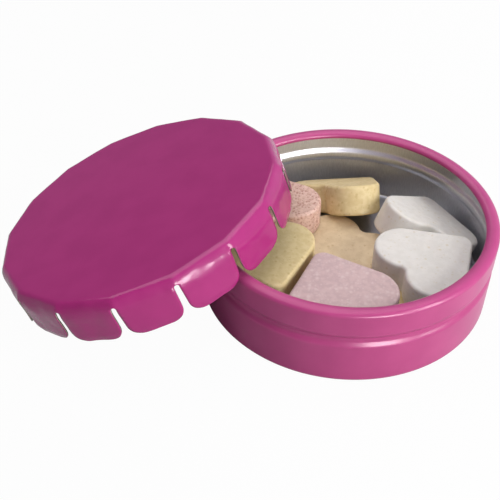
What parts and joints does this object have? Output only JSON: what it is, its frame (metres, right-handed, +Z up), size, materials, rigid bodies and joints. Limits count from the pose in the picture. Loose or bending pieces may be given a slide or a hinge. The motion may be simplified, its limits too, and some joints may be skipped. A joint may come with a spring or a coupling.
{
  "type": "mint tin",
  "caption": "Small round tin with a clip-on lid cut into tabs, open, the lid leaning on its rim, with heart-shaped mints inside.",
  "frame": {"origin": "middle of the tin base's flat underside, on the ground", "axes": "+Z up, out of the tin's mouth; the taken-off lid leans on the -X side of the rim"},
  "size_m": [0.0845, 0.0544, 0.0234],
  "materials": {
    "lid_paint": "satin magenta lacquer over tinplate",
    "tin_paint": "satin magenta lacquer outside and over the rim, bare tinplate inside",
    "white_mint": "chalky pressed sugar, white",
    "cream_mint": "chalky pressed sugar, cream",
    "yellow_mint": "chalky pressed sugar, pale yellow with fine darker specks",
    "pink_mint": "chalky pressed sugar, pale pink with red specks"
  },
  "bodies": {
    "tin": {"tin_base": "tin_paint", "cream_mint": "cream_mint", "low_yellow_mint": "yellow_mint", "low_left_mint": "white_mint", "low_front_mint": "cream_mint", "back_yellow_mint": "yellow_mint"},
    "lid": {"lid": "lid_paint"},
    "front_white": {"front_white_mint": "white_mint"},
    "front_pink": {"front_pink_mint": "pink_mint"},
    "back_white": {"back_white_mint": "white_mint"},
    "left_pink": {"left_pink_mint": "pink_mint"},
    "left_yellow": {"left_yellow_mint": "yellow_mint"}
  },
  "joints": [
    {"name": "lid_lift", "type": "slide", "parent": "tin", "child": "lid", "axis": [0, 0, 1], "range_m": [0, 0.03]},
    {"name": "front_white_lift", "type": "slide", "parent": "tin", "child": "front_white", "axis": [0, 0, 1], "range_m": [0, 0.02]},
    {"name": "front_pink_lift", "type": "slide", "parent": "tin", "child": "front_pink", "axis": [0, 0.1483, 0.9889], "range_m": [0, 0.013]},
    {"name": "back_white_lift", "type": "slide", "parent": "tin", "child": "back_white", "axis": [-0.1191, 0.0298, 0.9924], "range_m": [0, 0.02]},
    {"name": "left_pink_lift", "type": "slide", "parent": "tin", "child": "left_pink", "axis": [0, 0, 1], "range_m": [0, 0.002]},
    {"name": "left_yellow_lift", "type": "slide", "parent": "tin", "child": "left_yellow", "axis": [0, 0, 1], "range_m": [0, 0.002]}
  ]
}
